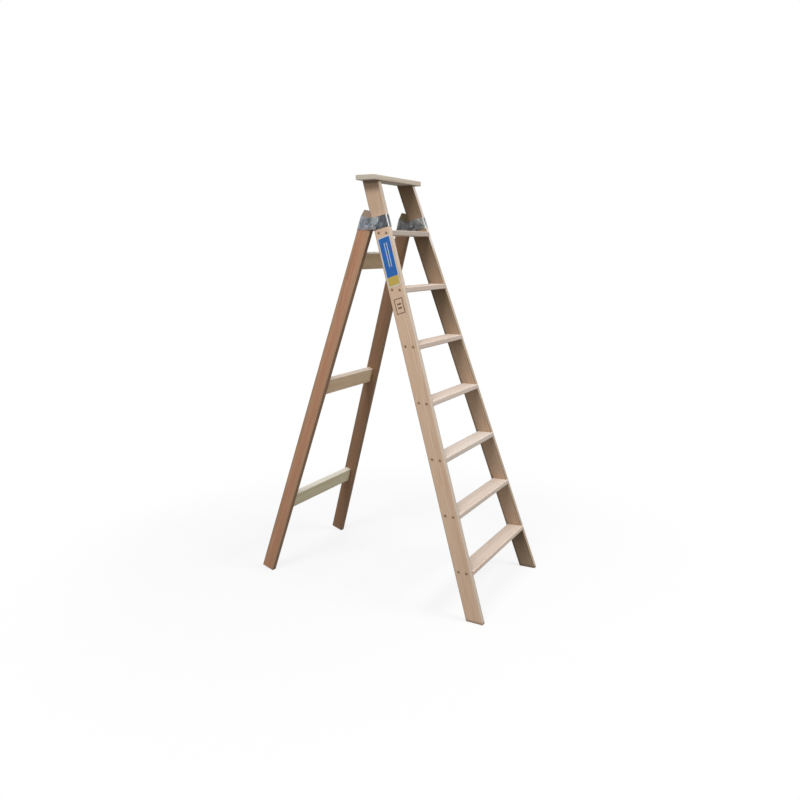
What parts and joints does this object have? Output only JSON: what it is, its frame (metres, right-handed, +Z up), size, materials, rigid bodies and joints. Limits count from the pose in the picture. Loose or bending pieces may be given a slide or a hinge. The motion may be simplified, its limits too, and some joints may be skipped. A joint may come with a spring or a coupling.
{
  "type": "wooden stepladder",
  "caption": "Folding wooden stepladder with flat treads housed in leaning stiles, a top board and railed rear legs that pivot on metal straps.",
  "frame": {"origin": "on the floor, in the middle of the footprint of the open ladder", "axes": "+Z up, climbing side towards -Y, rear legs towards +Y, X across"},
  "size_m": [0.7358, 1.2824, 1.9755],
  "materials": {
    "stile_wood": "planed, unvarnished",
    "tread_wood": "planed, unvarnished",
    "board_wood": "weathered, unvarnished",
    "leg_wood": "planed, unvarnished",
    "rail_wood": "planed, unvarnished",
    "galvanised_sheet": "galvanised, dull spangle",
    "pivot_steel": "zinc plated",
    "screw_steel": "dark, dull",
    "label": "printed film"
  },
  "bodies": {
    "front_frame": {"front_stile_left": "stile_wood", "front_stile_right": "stile_wood", "tread_1": "tread_wood", "tread_2": "tread_wood", "tread_3": "tread_wood", "tread_4": "tread_wood", "tread_5": "tread_wood", "tread_6": "tread_wood", "tread_7": "tread_wood", "top_board": "board_wood", "top_board_screws": "screw_steel", "tread_screws_left": "screw_steel", "stile_band_left": "galvanised_sheet", "stile_band_screws_left": "screw_steel", "hinge_bolt_left": "pivot_steel", "hinge_nut_left": "pivot_steel", "hinge_washers_left": "pivot_steel", "tread_screws_right": "screw_steel", "stile_band_right": "galvanised_sheet", "stile_band_screws_right": "screw_steel", "hinge_bolt_right": "pivot_steel", "hinge_nut_right": "pivot_steel", "hinge_washers_right": "pivot_steel", "side_label": "label"},
    "rear_frame": {"rear_rail_lower": "rail_wood", "rear_rail_middle": "rail_wood", "rear_rail_upper": "rail_wood", "rear_leg_left": "leg_wood", "hinge_strap_left": "galvanised_sheet", "hinge_strap_screws_left": "screw_steel", "rear_leg_right": "leg_wood", "hinge_strap_right": "galvanised_sheet", "hinge_strap_screws_right": "screw_steel"}
  },
  "joints": [
    {"name": "rear_fold", "type": "hinge", "parent": "front_frame", "child": "rear_frame", "pos_m": [0, 0.00847, 1.7616], "axis": [-1, 0, 0], "range_deg": [0, 35.6]}
  ]
}
